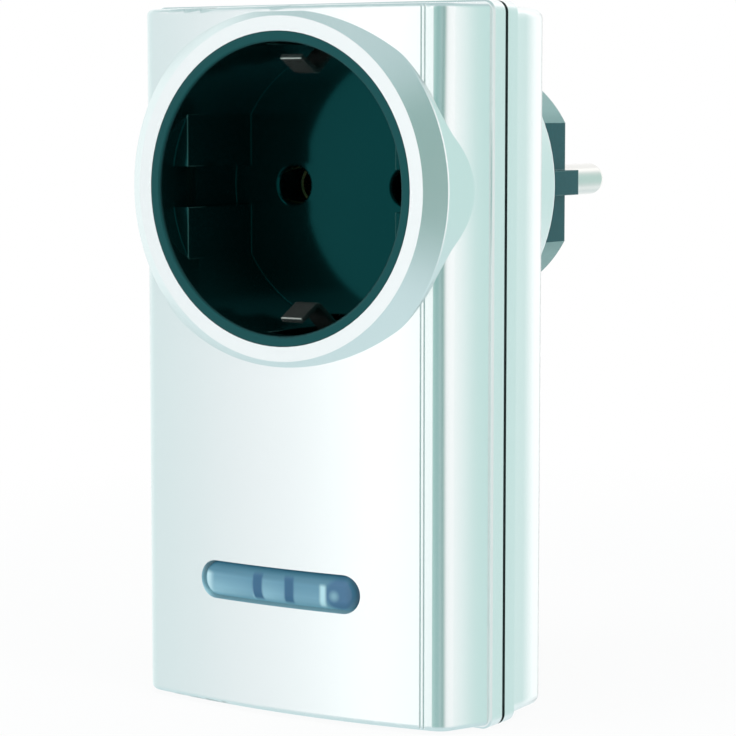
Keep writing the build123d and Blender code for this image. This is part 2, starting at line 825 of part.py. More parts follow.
# Heat sink: a plate over the triac with one side turned down to the board
sink_front_depth = board_back_depth + sink_stand
sink_back_depth = sink_front_depth + sink_thickness
sink_right = sink_x + sink_width / 2
triac_hole = [(triac_x, triac_top_height - triac_tab_length / 2)]
with BuildPart() as heat_sink:
    with BuildSketch(facing(sink_front_depth)):
        with Locations((sink_x, sink_height)):
            Rectangle(sink_width, sink_length)
    extrude(amount=-sink_thickness)
    with BuildSketch(facing(board_back_depth)):
        with Locations((sink_right, sink_height)):
            Rectangle(sink_thickness, sink_length, align=(Align.MAX, Align.CENTER))
    extrude(amount=-(sink_back_depth - board_back_depth))
    outer_bend = heat_sink.edges().filter_by(Axis.Z).group_by(Axis.Y)[-1].sort_by(Axis.X)[-1]
    fillet(outer_bend, sink_thickness / 2)
    extrude(
        spots(sink_front_depth, triac_hole, triac_screw_radius),
        amount=-sink_thickness,
        mode=Mode.SUBTRACT,
    )
finish(heat_sink.part, "heat_sink")

# Triac, flat under the heat sink, with three legs bent to the board
triac_body_top = triac_top_height - triac_tab_length
triac_body_base = triac_body_top - triac_length
with BuildPart() as triac:
    with BuildSketch(facing(sink_front_depth)):
        with Locations((triac_x, triac_body_top)):
            Rectangle(triac_width, triac_length, align=(Align.CENTER, Align.MAX))
    extrude(amount=triac_thickness)
    with BuildSketch(facing(sink_front_depth)):
        with Locations((triac_x, triac_body_top)):
            Rectangle(triac_width, triac_tab_length, align=(Align.CENTER, Align.MIN))
        with Locations(*triac_hole):
            Circle(triac_tab_hole_radius, mode=Mode.SUBTRACT)
    extrude(amount=triac_tab_thickness)
    leg_depth = sink_front_depth - triac_leg_setback
    leg_places = [(triac_x + step * triac_leg_spacing, triac_body_base) for step in (-1, 0, 1)]
    with BuildSketch(facing(leg_depth)):
        with Locations(*leg_places):
            Rectangle(triac_leg_width, triac_leg_length, align=(Align.CENTER, Align.MAX))
    extrude(amount=triac_leg_thickness)
    with BuildSketch(facing(board_back_depth)):
        with Locations(*[(x, height - triac_leg_length) for x, height in leg_places]):
            Rectangle(triac_leg_width, triac_leg_thickness, align=(Align.CENTER, Align.MIN))
    extrude(amount=-(leg_depth - board_back_depth))
finish(triac.part, "triac")

# Screw through the triac's tab into the heat sink
tab_front_depth = sink_front_depth - triac_tab_thickness
with BuildPart() as triac_screw:
    grip_length = sink_back_depth - tab_front_depth
    extrude(spots(tab_front_depth, triac_hole, triac_screw_radius), amount=-grip_length)
    extrude(spots(tab_front_depth, triac_hole, triac_screw_head_radius), amount=triac_screw_head_height)
    with BuildSketch(facing(tab_front_depth - triac_screw_head_height)):
        with Locations(*triac_hole):
            Rectangle(screw_slot_length, screw_slot_width)
            Rectangle(screw_slot_width, screw_slot_length)
    extrude(amount=-screw_slot_depth, mode=Mode.SUBTRACT)
finish(triac_screw.part, "triac_screw")

# Interference choke: a ring core lying on the board, and its winding round most of the ring
winding_front_depth = board_back_depth
core_front_depth = winding_front_depth + winding_thickness
with BuildPart() as choke_core:
    with BuildSketch(facing(core_front_depth)):
        with Locations((choke_x, choke_height)):
            Circle(choke_outer_radius)
            Circle(choke_inner_radius, mode=Mode.SUBTRACT)
    extrude(amount=-choke_thickness)
    chamfer(choke_core.edges().filter_by(GeomType.CIRCLE), choke_round)
finish(choke_core.part, "choke_core")
core_width = choke_outer_radius - choke_inner_radius
core_middle_radius = (choke_outer_radius + choke_inner_radius) / 2
core_middle_depth = core_front_depth + choke_thickness / 2
with BuildPart() as choke_winding:
    with BuildSketch(Plane.XY.offset(choke_height)) as winding_section:
        with Locations((choke_x + core_middle_radius, y_of(core_middle_depth))):
            Rectangle(core_width + 2 * winding_thickness, choke_thickness + 2 * winding_thickness)
            chamfer(winding_section.vertices(), choke_round)
            Rectangle(core_width + 2 * fit_gap, choke_thickness + 2 * fit_gap, mode=Mode.SUBTRACT)
    revolve(axis=Axis((choke_x, 0, choke_height), (0, 1, 0)), revolution_arc=winding_arc)
finish(choke_winding.part, "choke_winding")


def block(label, x, height, width, length):
    """Moulded block capacitor standing on the back of the board."""
    with BuildPart() as moulding:
        with BuildSketch(facing(board_back_depth)):
            with Locations((x, height)):
                RectangleRounded(width, length, block_round)
        extrude(amount=-stack_height)
        fillet(moulding.faces().sort_by(Axis.Y)[-1].edges(), block_round)
    finish(moulding.part, label)


block("filter_capacitor", filter_x, filter_height, filter_width, filter_length)
block("dropper_capacitor", dropper_x, dropper_height, dropper_width, dropper_length)

# Smoothing capacitor: a can with a rolled groove near the board
with BuildPart() as smoothing_capacitor:
    can_place = [(smoothing_x, smoothing_height)]
    groove_depth = board_back_depth + smoothing_groove_rise
    extrude(spots(board_back_depth, can_place, smoothing_radius), amount=-stack_height)
    with BuildSketch(facing(groove_depth)):
        with Locations(*can_place):
            Circle(smoothing_radius + overrun)
            Circle(smoothing_radius - smoothing_groove, mode=Mode.SUBTRACT)
    extrude(amount=-2 * smoothing_groove, mode=Mode.SUBTRACT)
    fillet(smoothing_capacitor.edges().filter_by(GeomType.CIRCLE).sort_by(Axis.Y)[-1], smoothing_groove)
finish(smoothing_capacitor.part, "smoothing_capacitor")

# Surge absorber: a coated disc standing on two wire legs
absorber_middle_depth = board_back_depth + absorber_lift + absorber_radius
with BuildPart() as surge_absorber:
    with BuildSketch(Plane.XY.offset(absorber_height - absorber_thickness / 2)):
        with Locations((absorber_x, y_of(absorber_middle_depth))):
            Circle(absorber_radius)
    extrude(amount=absorber_thickness)
    fillet(surge_absorber.edges().filter_by(GeomType.CIRCLE), absorber_round)
    half_spacing = absorber_leg_spacing / 2
    absorber_legs = [(absorber_x + side * half_spacing, absorber_height) for side in (-1, 1)]
    extrude(spots(board_back_depth, absorber_legs, wire_leg_radius), amount=-(absorber_lift + absorber_radius))
finish(surge_absorber.part, "surge_absorber")

# Fuse with its end caps, lifted off the board on two wire legs
fuse_middle_depth = board_back_depth + fuse_lift + fuse_radius
half_span = (fuse_length - fuse_cap_length) / 2
with BuildPart() as fuse:
    fuse_middle = (fuse_x, y_of(fuse_middle_depth), fuse_height)
    fuse_plane = Plane(origin=fuse_middle, x_dir=(0, 1, 0), z_dir=(1, 0, 0))
    with BuildSketch(fuse_plane):
        Circle(fuse_radius - fuse_cap_step)
    extrude(amount=fuse_length / 2, both=True)
    for side in (-1, 1):
        with BuildSketch(fuse_plane.offset(side * half_span)):
            Circle(fuse_radius)
        extrude(amount=fuse_cap_length / 2, both=True)
    fuse_legs = [(fuse_x + side * half_span, fuse_height) for side in (-1, 1)]
    extrude(spots(board_back_depth, fuse_legs, wire_leg_radius), amount=-(fuse_lift + fuse_radius))
finish(fuse.part, "fuse")

# Controller chip with two rows of legs
chip_front_depth = board_front_depth - chip_lift - chip_thickness
with BuildPart() as controller_chip:
    with BuildSketch(facing(chip_front_depth)):
        with Locations((chip_x, chip_height)):
            Rectangle(chip_width, chip_length)
    extrude(amount=-chip_thickness)
    with BuildSketch(facing(board_front_depth)):
        with Locations((chip_x, chip_height)):
            with GridLocations(chip_leg_spacing, chip_length + chip_leg_length, chip_legs, 2):
                Rectangle(chip_leg_width, 2 * chip_leg_length)
    extrude(amount=2 * chip_lift)
finish(controller_chip.part, "controller_chip")

# Receiver board on a row of pins, with its own chip
receiver_back_depth = board_front_depth - receiver_lift
receiver_front_depth = receiver_back_depth - receiver_thickness
with BuildPart() as receiver_board:
    with BuildSketch(facing(receiver_front_depth)):
        with Locations((receiver_x, receiver_height)):
            Rectangle(receiver_width, receiver_length)
    extrude(amount=-receiver_thickness)
    with BuildSketch(facing(receiver_front_depth)):
        with Locations((receiver_x, receiver_height)):
            Rectangle(receiver_chip_side, receiver_chip_side)
    extrude(amount=receiver_chip_thickness)
    pin_row_height = receiver_height - receiver_length / 2 + receiver_pin_width
    with BuildSketch(facing(receiver_back_depth)):
        with Locations((receiver_x, pin_row_height)):
            with GridLocations(receiver_pin_spacing, receiver_pin_width, receiver_pins, 1):
                Rectangle(receiver_pin_width, receiver_pin_width)
    extrude(amount=-receiver_lift)
finish(receiver_board.part, "receiver_board")

# Aerial coil on two wire legs
aerial_middle_depth = board_front_depth - aerial_lift - aerial_radius
with BuildPart() as aerial_coil:
    with BuildSketch(Plane.YZ):
        with Locations((y_of(aerial_middle_depth), aerial_height)):
            Circle(aerial_radius)
    extrude(amount=aerial_length / 2, both=True)
    aerial_legs = [(side * (aerial_length / 2 - aerial_radius), aerial_height) for side in (-1, 1)]
    extrude(spots(board_front_depth, aerial_legs, wire_leg_radius), amount=aerial_lift + aerial_radius)
finish(aerial_coil.part, "aerial_coil")


def turn(place, depth):
    """Point of a lead's route, from a place across and up and a depth."""
    return Vector(place[0], y_of(depth), place[1])


def lead(label, route):
    """Insulated lead: straight runs joined by arcs as large as the runs allow."""
    radii = []
    for before, corner, after in zip(route, route[1:], route[2:]):
        half_turn = math.radians((corner - before).get_angle(after - corner) / 2)
        shorter_run = min((corner - before).length, (after - corner).length)
        radii.append(arc_share * shorter_run / math.tan(half_turn))
    with BuildPart() as wire:
        with BuildLine() as path:
            FilletPolyline(*route, radius=radii)
        with BuildSketch(Plane(origin=path.line @ 0, z_dir=path.line % 0)):
            Circle(lead_radius)
        sweep()
    print(label, "arc radii", [round(radius, 1) for radius in radii])
    finish(wire.part, label)


pin_x = pin_spacing / 2
lug_depth = tail_front_depth + lead_radius + 2 * free_gap
tail_middle_depth = tail_depth + contact_thickness / 2
back_run_depth = rear_inner_depth - lead_radius - lead_wall_gap
lead(
    "live_lead_in",
    [
        turn((pin_x, -pin_tail_radius), lug_depth),
        turn((pin_x, lug_turn_height), lug_depth),
        turn(live_in_bore_place, lug_depth - lead_setback),
        turn(live_in_bore_place, flange_front_depth - lead_setback),
        turn(live_in_exit_place, back_run_depth),
        turn(live_in_board_place, back_run_depth),
        turn(live_in_board_place, board_back_depth),
    ],
)
lead(
    "live_lead_out",
    [
        turn((pin_x, tail_end_height), tail_middle_depth),
        turn((pin_x, tail_turn_height), tail_middle_depth),
        turn(live_out_exit_place, back_run_depth),
        turn(live_out_board_place, back_run_depth),
        turn(live_out_board_place, board_back_depth),
    ],
)
lead(
    "neutral_lead",
    [
        turn((-pin_x, tail_end_height), tail_middle_depth),
        turn((-pin_x, tail_turn_height), tail_middle_depth),
        turn(neutral_exit_place, back_run_depth),
        turn(neutral_board_place, back_run_depth),
        turn(neutral_board_place, board_back_depth),
    ],
)
lead(
    "neutral_link",
    [
        turn((-pin_x, -pin_tail_radius), lug_depth),
        turn((-pin_x, link_height), lug_depth),
        turn((-pin_x, link_height), tail_depth + contact_thickness),
    ],
)
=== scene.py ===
"""Plug-in dimmer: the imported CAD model, dressed for a studio photograph."""

import math

import bpy
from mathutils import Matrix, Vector


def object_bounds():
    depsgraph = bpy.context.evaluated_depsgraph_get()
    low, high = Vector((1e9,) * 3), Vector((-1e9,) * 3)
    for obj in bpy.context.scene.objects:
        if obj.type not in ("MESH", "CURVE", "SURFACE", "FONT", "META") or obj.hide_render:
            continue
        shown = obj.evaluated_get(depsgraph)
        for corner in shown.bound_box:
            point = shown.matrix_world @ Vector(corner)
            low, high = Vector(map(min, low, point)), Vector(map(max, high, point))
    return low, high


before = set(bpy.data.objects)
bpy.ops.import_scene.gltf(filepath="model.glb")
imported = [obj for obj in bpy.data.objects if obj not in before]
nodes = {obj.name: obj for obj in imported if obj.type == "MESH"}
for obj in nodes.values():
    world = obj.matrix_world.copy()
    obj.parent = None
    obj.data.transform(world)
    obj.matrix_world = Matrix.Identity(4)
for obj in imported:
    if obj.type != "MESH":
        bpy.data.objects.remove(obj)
cad_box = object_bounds()

# Camera of the photograph: a long lens a little above the axis, turned so that the case's right flank
# shows. Its place is measured from the socket's front rim, and moved from there to the frame's origin.
MM = 0.001
RIM_TO_PLUG = 52.5 * MM
CAMERA_PLACE = Vector((204.1 * MM, -290.0 * MM - RIM_TO_PLUG, 11.2 * MM))
CAMERA_TURN = math.radians(33.152)
CAMERA_DIP = math.radians(5.671)
FOCAL_PIXELS = 2643.0
PHOTO_PIXELS = 736
SENSOR_WIDTH = 36
NEAR_LIMIT = 0.01

camera = bpy.data.objects.new("camera", bpy.data.cameras.new("camera"))
camera.data.sensor_width = SENSOR_WIDTH
camera.data.lens = SENSOR_WIDTH * FOCAL_PIXELS / PHOTO_PIXELS
camera.data.clip_start = NEAR_LIMIT
camera.location = CAMERA_PLACE
camera.rotation_euler = (math.radians(90) - CAMERA_DIP, 0, CAMERA_TURN)
bpy.context.scene.collection.objects.link(camera)
bpy.context.scene.camera = camera
bpy.context.scene.view_settings.view_transform = "Standard"


class Value:
    """A shader socket that can be used in sums, so that a pattern reads as one expression."""

    def __init__(self, graph, socket):
        self.graph = graph
        self.socket = socket

    def _math(self, operation, *inputs):
        return self.graph.node("ShaderNodeMath", {"operation": operation}, dict(enumerate(inputs)))

    def __add__(self, other):
        return self._math("ADD", self, other)

    def __radd__(self, other):
        return self._math("ADD", other, self)

    def __sub__(self, other):
        return self._math("SUBTRACT", self, other)

    def __rsub__(self, other):
        return self._math("SUBTRACT", other, self)

    def __mul__(self, other):
        return self._math("MULTIPLY", self, other)

    def __rmul__(self, other):
        return self._math("MULTIPLY", other, self)

    def __truediv__(self, other):
        return self._math("DIVIDE", self, other)

    def above(self, edge, softness=0.0):
        """1 where the value lies above the edge, and 0 below it. The softness is half the step between."""
        if not softness:
            return self._math("GREATER_THAN", self, edge)
        ranged = {"Value": self, "From Min": edge - softness, "From Max": edge + softness}
        return self.graph.node("ShaderNodeMapRange", {"interpolation_type": "SMOOTHSTEP"}, ranged)

    def below(self, edge, softness=0.0):
        return 1 - self.above(edge, softness)

    def between(self, start, end, softness=0.0):
        return self.above(start, softness) * self.below(end, softness)

    def rise(self, start, end, low=0.0, high=1.0):
        """Straight rise from low, at and before the start, to high, at and after the end."""
        ranged = {"Value": self, "From Min": start, "From Max": end, "To Min": low, "To Max": high}
        return self.graph.node("ShaderNodeMapRange", {}, ranged)

    def about(self, middle, swing):
        """Turns noise, which varies about 0.5, into a value that varies about a middle."""
        return (self - 0.5) * swing + middle

    def size(self):
        """The value without its sign."""
        return self._math("ABSOLUTE", self)

    def root(self):
        return self._math("SQRT", self)


class Graph:
    """The node tree of a material or of the world, and the one method that adds its nodes."""

    def __init__(self, name, kind="materials", shader="Principled BSDF"):
        self.owner = getattr(bpy.data, kind).new(name)
        self.owner.use_nodes = True
        self.tree = self.owner.node_tree
        self.shader = self.tree.nodes[shader]

    def node(self, kind, settings=(), inputs=(), output=0):
        added = self.tree.nodes.new(kind)
        for name, setting in dict(settings).items():
            if name == "stops":
                self._stops(added.color_ramp, setting)
            else:
                setattr(added, name, setting)
        for name, source in dict(inputs).items():
            self.join(source, added.inputs[name])
        return Value(self, added.outputs[output])

    def _stops(self, ramp, stops):
        while len(ramp.elements) < len(stops):
            ramp.elements.new(0.5)
        for element, (place, colour) in zip(ramp.elements, stops):
            element.position = place
            element.color = (*colour, 1)

    def join(self, source, socket):
        """Links a value to a socket, or sets the socket to a number, a vector or a colour."""
        if isinstance(source, Value):
            self.tree.links.new(source.socket, socket)
        elif isinstance(source, tuple) and len(source) == 3 and socket.type == "RGBA":
            socket.default_value = (*source, 1)
        else:
            socket.default_value = source

    def finish(self, **sockets):
        """Sets the shader's sockets, with underscores for spaces, and returns the owner of the tree."""
        for name, source in sockets.items():
            self.join(source, self.shader.inputs[name.replace("_", " ")])
        return self.owner

    def split(self, vector):
        """The three parts of a vector."""
        parts = self.node("ShaderNodeSeparateXYZ", {}, {0: vector}).socket.node
        return [Value(self, parts.outputs[axis]) for axis in range(3)]

    def vector(self, operation, *inputs, output=0):
        return self.node("ShaderNodeVectorMath", {"operation": operation}, dict(enumerate(inputs)), output)

    def place(self):
        """Position in the frame, in metres, as three values."""
        return self.split(self.node("ShaderNodeTexCoord", output="Object"))

    def flat(self):
        """Direction in which the mesh faces."""
        return self.node("ShaderNodeNewGeometry", output="Normal")

    def noise(self, size, detail=2.0, stretch=(1, 1, 1)):
        """Noise about 0.5, whose features are about one size across, in metres."""
        position = self.node("ShaderNodeTexCoord", output="Object")
        scaled = self.node("ShaderNodeMapping", {}, {"Vector": position, "Scale": stretch})
        return self.node("ShaderNodeTexNoise", {}, {"Vector": scaled, "Scale": 1 / size, "Detail": detail})

    def mix(self, share, first, second):
        """Colour between two, by a share from 0 to 1."""
        return self.node("ShaderNodeMix", {"data_type": "RGBA"}, {0: share, 6: first, 7: second}, output=2)

    def bump(self, height, strength, relief, under=None):
        """Normal from a height, whose relief is in metres."""
        inputs = {"Height": height, "Strength": strength, "Distance": relief}
        if under is not None:
            inputs["Normal"] = under
        return self.node("ShaderNodeBump", {}, inputs)


def dress(material, *names):
    """Gives whole CAD nodes one material."""
    for name in names:
        nodes[name].data.materials.clear()
        nodes[name].data.materials.append(material)


# Case: two moulded halves in satin silver lacquer with fine flakes and orange peel, screwed together from
# the rear. The front flank is crowned up to the belt and the rear one up to its back edge. The seam is
# painted dark as shade, and the walls of the button's window carry a faint painted glow from the button.
SILVER = (0.90, 0.925, 0.925)
SILVER_SHADE = (0.83, 0.865, 0.865)
FLAKE_SHARE = 0.6
CLOUD_SHARE = 0.2
FLAKE_RELIEF = 0.004 * MM
PEEL_RELIEF = 0.008 * MM
FRONT_FLANK = (4.7 * MM, 9.95 * MM)
FRONT_LEAN = (-0.15, 0.16)
REAR_FLANK = (19.2 * MM, 23.7 * MM)
REAR_LEAN = (0.0, 0.18)
REAR_FACE = 24.95 * MM
FLANK_FACING = (0.8, 0.1)
SEAM = (12.6 * MM, 14.4 * MM)
SEAM_FACING = (0.7, 0.1)
SEAM_SHADE = (0.28, 0.33, 0.33)
WINDOW_MIDDLE = (-0.7 * MM, -54.1 * MM)
WINDOW_HALF = (14.0 * MM, 3.2 * MM)
WINDOW_DEPTH = 8.0 * MM
WINDOW_FACING = (0.6, 0.1)
WINDOW_GLOW = (0.05, 0.085, 0.095)
BLACK = (0, 0, 0)
graph = Graph("silver_lacquer")
flakes = graph.noise(0.09 * MM, detail=1.0)
clouds = graph.noise(30 * MM, detail=3.0)
peel = graph.noise(0.9 * MM)
across, through, up = graph.place()
depth = through + RIM_TO_PLUG
flat = graph.flat()
facing = graph.split(flat)

front_lean = depth.rise(*FRONT_FLANK, *FRONT_LEAN) * depth.below(FRONT_FLANK[1])
rear_lean = depth.rise(*REAR_FLANK, *REAR_LEAN) * depth.below(REAR_FACE)
lean = (front_lean + rear_lean) * facing[0].size().above(*FLANK_FACING)
leaning = graph.node("ShaderNodeCombineXYZ", {}, {"Y": lean})
crowned = graph.vector("NORMALIZE", graph.vector("ADD", flat, leaning))

lacquer = graph.mix(flakes * FLAKE_SHARE + clouds * CLOUD_SHARE, SILVER, SILVER_SHADE)
# Painted shade in the seam between the halves.
seam_shade = depth.between(*SEAM) * facing[1].size().above(*SEAM_FACING)
# Painted glow on the walls of the button's window, as if lit by the button.
window_width = (across - WINDOW_MIDDLE[0]).size().below(WINDOW_HALF[0])
window_height = (up - WINDOW_MIDDLE[1]).size().below(WINDOW_HALF[1])
window_wall = depth.below(WINDOW_DEPTH) * facing[1].size().below(*WINDOW_FACING)
silver = graph.finish(
    Base_Color=graph.mix(seam_shade, lacquer, SEAM_SHADE),
    Metallic=0.9,
    Roughness=flakes.about(0.24, 0.08) + clouds.about(0.0, 0.03),
    Coat_Weight=0.1,
    Coat_Roughness=0.15,
    Emission_Color=graph.mix(window_width * window_height * window_wall, BLACK, WINDOW_GLOW),
    Emission_Strength=1.0,
    Normal=graph.bump(flakes, 0.2, FLAKE_RELIEF, under=graph.bump(peel, 0.25, PEEL_RELIEF, under=crowned)),
)
dress(silver, "front_shell", "rear_shell")


EDGE_AGREEMENT = (0.93, 0.05)


def edge_rounding_and_highlight(graph, radius):
    """Normal that rounds a piece's edges by a radius, and a mask of where it departs from the mesh's, along
    which a highlight is painted.
    """
    rounded = graph.node("ShaderNodeBevel", {"samples": 4}, {"Radius": radius})
    agreement = graph.vector("DOT_PRODUCT", rounded, graph.flat(), output=1)
    return rounded, agreement.below(*EDGE_AGREEMENT)


# Socket insert: one black moulding with a blue-green cast, seated in the collar's bore. Its polished tool
# left a fine grain, and its floor mirrors the room dimly. Its front rim is lighter, and the front edges of
# its side guides carry a painted highlight.
SOCKET_BLACK = (0.0006, 0.006, 0.006)
SOCKET_SHEEN = (0.001, 0.010, 0.010)
RIM_LIGHTER = (0.013, 0.043, 0.045)
RIM_DEPTH = (0.5 * MM, 0.2 * MM)
EDGE_HIGHLIGHT = (0.055, 0.120, 0.110)
HIGHLIGHT_DEPTH = (6.0 * MM, 2.5 * MM)
GUIDE_EDGE = 17.2 * MM
SOCKET_ROUND = 0.3 * MM
GRAIN_RELIEF = 0.01 * MM
BLUE_GREEN = (0.02, 0.92, 0.95)
graph = Graph("socket_black")
across, through, up = graph.place()
depth = through + RIM_TO_PLUG
rounded, edges = edge_rounding_and_highlight(graph, SOCKET_ROUND)
# Painted highlight on the front edges of the side guides.
edge_highlights = edges * depth.below(*HIGHLIGHT_DEPTH) * across.size().below(GUIDE_EDGE)
grain = graph.noise(0.25 * MM, detail=3.0)
flow = graph.noise(12 * MM)
moulded = graph.mix(edge_highlights, graph.mix(flow, SOCKET_BLACK, SOCKET_SHEEN), EDGE_HIGHLIGHT)
socket_black = graph.finish(
    Base_Color=graph.mix(depth.below(*RIM_DEPTH), moulded, RIM_LIGHTER),
    Roughness=grain.about(0.10, 0.06) + flow.about(0.0, 0.03),
    Specular_IOR_Level=0.5,
    Specular_Tint=BLUE_GREEN,
    Normal=graph.bump(grain, 0.12, GRAIN_RELIEF, under=rounded),
)
dress(socket_black, "socket_insert")

# Earth straps and their rivet: nickel-plated spring strip, stamped and bent, and riveted together behind
# the socket's floor. The plate is drawn lengthways and stained in places, and a highlight is painted on its
# bends and cut edges.
STRIP = (0.50, 0.54, 0.51)
STRIP_DULL = (0.34, 0.38, 0.36)
STRIP_HIGHLIGHT = (0.88, 0.90, 0.84)
STRIP_ROUND = 0.3 * MM
DRAWN_LENGTHWAYS = (6, 1, 1)
graph = Graph("plated_strip")
rounded, edges = edge_rounding_and_highlight(graph, STRIP_ROUND)
drawn = graph.noise(0.4 * MM, detail=3.0, stretch=DRAWN_LENGTHWAYS)
stain = graph.noise(4 * MM)
# The edge mask paints a highlight on bends and cut edges.
plated = graph.finish(
    Base_Color=graph.mix(edges, graph.mix(stain, STRIP, STRIP_DULL), STRIP_HIGHLIGHT),
    Metallic=0.92,
    Roughness=drawn.about(0.18, 0.16),
    Normal=graph.bump(drawn, 0.2, GRAIN_RELIEF, under=rounded),
)
dress(plated, "socket_earth_strap", "plug_earth_strap", "earth_rivet")

# Plug body: satin black moulding with the same cast and the spark-eroded grain of its tool. Its flange is
# held inside the rear boss. Hands have polished it a little. Its slanted sides carry a pale painted
# reflection, and its edges a painted highlight half as strong.
PLUG_BLACK = (0.002, 0.036, 0.046)
PLUG_GREY = (0.003, 0.048, 0.060)
PLUG_SHEEN = (0.24, 0.38, 0.36)
SHEEN_SHARE = 0.85
EDGE_SHARE = 0.5
SLANT_START = (0.15, 0.6)
SLANT_END = (0.96, 0.03)
PLUG_ROUND = 0.25 * MM
SPARK_RELIEF = 0.015 * MM
PLUG_CAST = (0.15, 0.92, 1.0)
graph = Graph("plug_black")
spark = graph.noise(0.2 * MM, detail=3.0)
handled = graph.noise(9 * MM)
rounded, edges = edge_rounding_and_highlight(graph, PLUG_ROUND)
upright = graph.split(graph.flat())[2].size()
slanted = upright.rise(*SLANT_START) * upright.below(*SLANT_END)
# Painted sheen: a pale reflection on the slanted sides and a highlight half as strong on the edges.
painted_sheen = (slanted + edges * EDGE_SHARE * (1 - slanted)) * SHEEN_SHARE
plug_black = graph.finish(
    Base_Color=graph.mix(painted_sheen, graph.mix(handled, PLUG_BLACK, PLUG_GREY), PLUG_SHEEN),
    Roughness=spark.about(0.24, 0.12) + handled.about(0.0, -0.08),
    Specular_IOR_Level=0.6,
    Specular_Tint=PLUG_CAST,
    Normal=graph.bump(spark, 0.18, SPARK_RELIEF, under=rounded),
)
dress(plug_black, "plug_body")

# Pins: turned from brass, nickel-plated and polished, and held by the retainer plate inside the plug. They
# keep hairline rings from turning, and have lengthways rubs from use.
PIN = (0.80, 0.80, 0.78)
PIN_RUBBED = (0.72, 0.71, 0.67)
ROUND_THE_PIN = (0.05, 1, 0.05)
ALONG_THE_PIN = (1, 0.08, 1)
RING_RELIEF = 0.006 * MM
graph = Graph("pin_nickel")
rings = graph.noise(0.2 * MM, detail=1.0, stretch=ROUND_THE_PIN)
rubs = graph.noise(1.2 * MM, detail=3.0, stretch=ALONG_THE_PIN)
pin_nickel = graph.finish(
    Base_Color=graph.mix(rubs, PIN, PIN_RUBBED),
    Metallic=1.0,
    Roughness=rubs.about(0.16, 0.12),
    Normal=graph.bump(rings, 0.12, RING_RELIEF),
)
dress(pin_nickel, "live_pin", "neutral_pin")

# Contacts: plain brass strip, rolled into sprung sleeves in the chambers behind the socket's pin holes.
# They are tarnished in patches.
BRASS = (0.72, 0.52, 0.22)
BRASS_TARNISH = (0.50, 0.34, 0.13)
graph = Graph("contact_brass")
tarnish = graph.noise(3 * MM, detail=3.0)
contact_brass = graph.finish(
    Base_Color=graph.mix(tarnish, BRASS, BRASS_TARNISH),
    Metallic=1.0,
    Roughness=tarnish.about(0.28, 0.2),
)
dress(contact_brass, "live_contact", "neutral_contact")

# Learn button: one pill moulded in translucent blue, which slides in the case's window. Its crown shows
# two darker ribs between pale pockets and the lamp's dim well, placed from the pill's middle. Light and
# shade are painted on it too: a darker top edge and a lighter lower edge, pockets lighter low down and
# shaded towards their right, a lighter left end, a highlight line, a highlight beside the lamp and a shaded
# right end. Its left and lower edges glow with painted light.
TOP_EDGE_SHADE = (0.055, 0.185, 0.270)
LOW_EDGE_LIGHT = (0.150, 0.320, 0.410)
EDGE_SHADE_RISE = (2.0 * MM, -2.2 * MM)
POCKET_SPAN = (-2.0 * MM, 0.95 * MM, 0.35 * MM)
POCKET_ENDS = (-13.2 * MM, 6.2 * MM, 0.3 * MM)
POCKET_LIGHT_RISE = (0.4 * MM, -1.6 * MM)
POCKET_BLUE = (0.150, 0.325, 0.430)
POCKET_LIT = (0.260, 0.480, 0.590)
POCKET_SHADE = (0.075, 0.225, 0.335)
SHADE_SHARE = 0.5
FIRST_SHADE = (-11.5 * MM, -5.0 * MM)
SECOND_SHADE = (-3.0 * MM, 1.5 * MM)
LIGHT_END = (-12.2 * MM, 0.7 * MM)
LIGHT_END_PALE = (0.52, 0.74, 0.81)
FIRST_RIB = (-4.8 * MM, -3.2 * MM)
SECOND_RIB = (0.6 * MM, 2.1 * MM)
RIB_BLUR = 0.25 * MM
RIB_BOW = 0.2 * MM / (1.5 * MM) ** 2
RIB_SPAN = (-2.0 * MM, 1.6 * MM, 0.4 * MM)
RIB_BLUE = (0.020, 0.105, 0.215)
LAMP_PLACE = (9.4 * MM, -0.2 * MM)
LAMP_WELL = (2.2 * MM, 0.5 * MM)
WELL_BLUE = (0.040, 0.135, 0.255)
GLEAM_PLACE = (8.5 * MM, -0.4 * MM)
LAMP_GLEAM = (0.6 * MM, 0.5 * MM)
GLEAM_BLUE = (0.18, 0.36, 0.45)
BRIGHT_LINE = (6.3 * MM, 7.2 * MM, 0.3 * MM)
LINE_HIGHLIGHT = (0.46, 0.71, 0.78)
DARK_END = (11.2 * MM, 1.2 * MM)
END_SHADE = (0.020, 0.085, 0.150)
SWIRL_SHARE = 0.12
STEEP = (-0.75, 0.15)
GLOW_TOP = (0.8 * MM, 0.8 * MM)
GLOW_END = (11.2 * MM, 1.0 * MM)
EDGE_GLOW = (0.04, 0.085, 0.10)
graph = Graph("button_blue")
swirl = graph.noise(4 * MM, detail=3.0)
fine = graph.noise(0.6 * MM)
across, through, up = graph.place()
height = up - WINDOW_MIDDLE[1]


def from_spot(spot):
    """Distance across the crown from a spot on the button."""
    aside = across - spot[0]
    above = height - spot[1]
    return (aside * aside + above * above).root()


# Pockets: painted light low down, painted shade towards the right of the first two, and a painted lighter
# left end.
first_shade = across.rise(*FIRST_SHADE) * across.below(FIRST_RIB[0])
second_shade = across.rise(*SECOND_SHADE) * across.above(FIRST_RIB[1])
pocket = graph.mix(height.rise(*POCKET_LIGHT_RISE), POCKET_BLUE, POCKET_LIT)
pocket = graph.mix((first_shade + second_shade) * SHADE_SHARE, pocket, POCKET_SHADE)
pocket = graph.mix(across.below(*LIGHT_END), pocket, LIGHT_END_PALE)

bowed = across - height * height * RIB_BOW
ribs = bowed.between(*FIRST_RIB, RIB_BLUR) + across.between(*SECOND_RIB, RIB_BLUR)
span = height.between(*POCKET_SPAN)
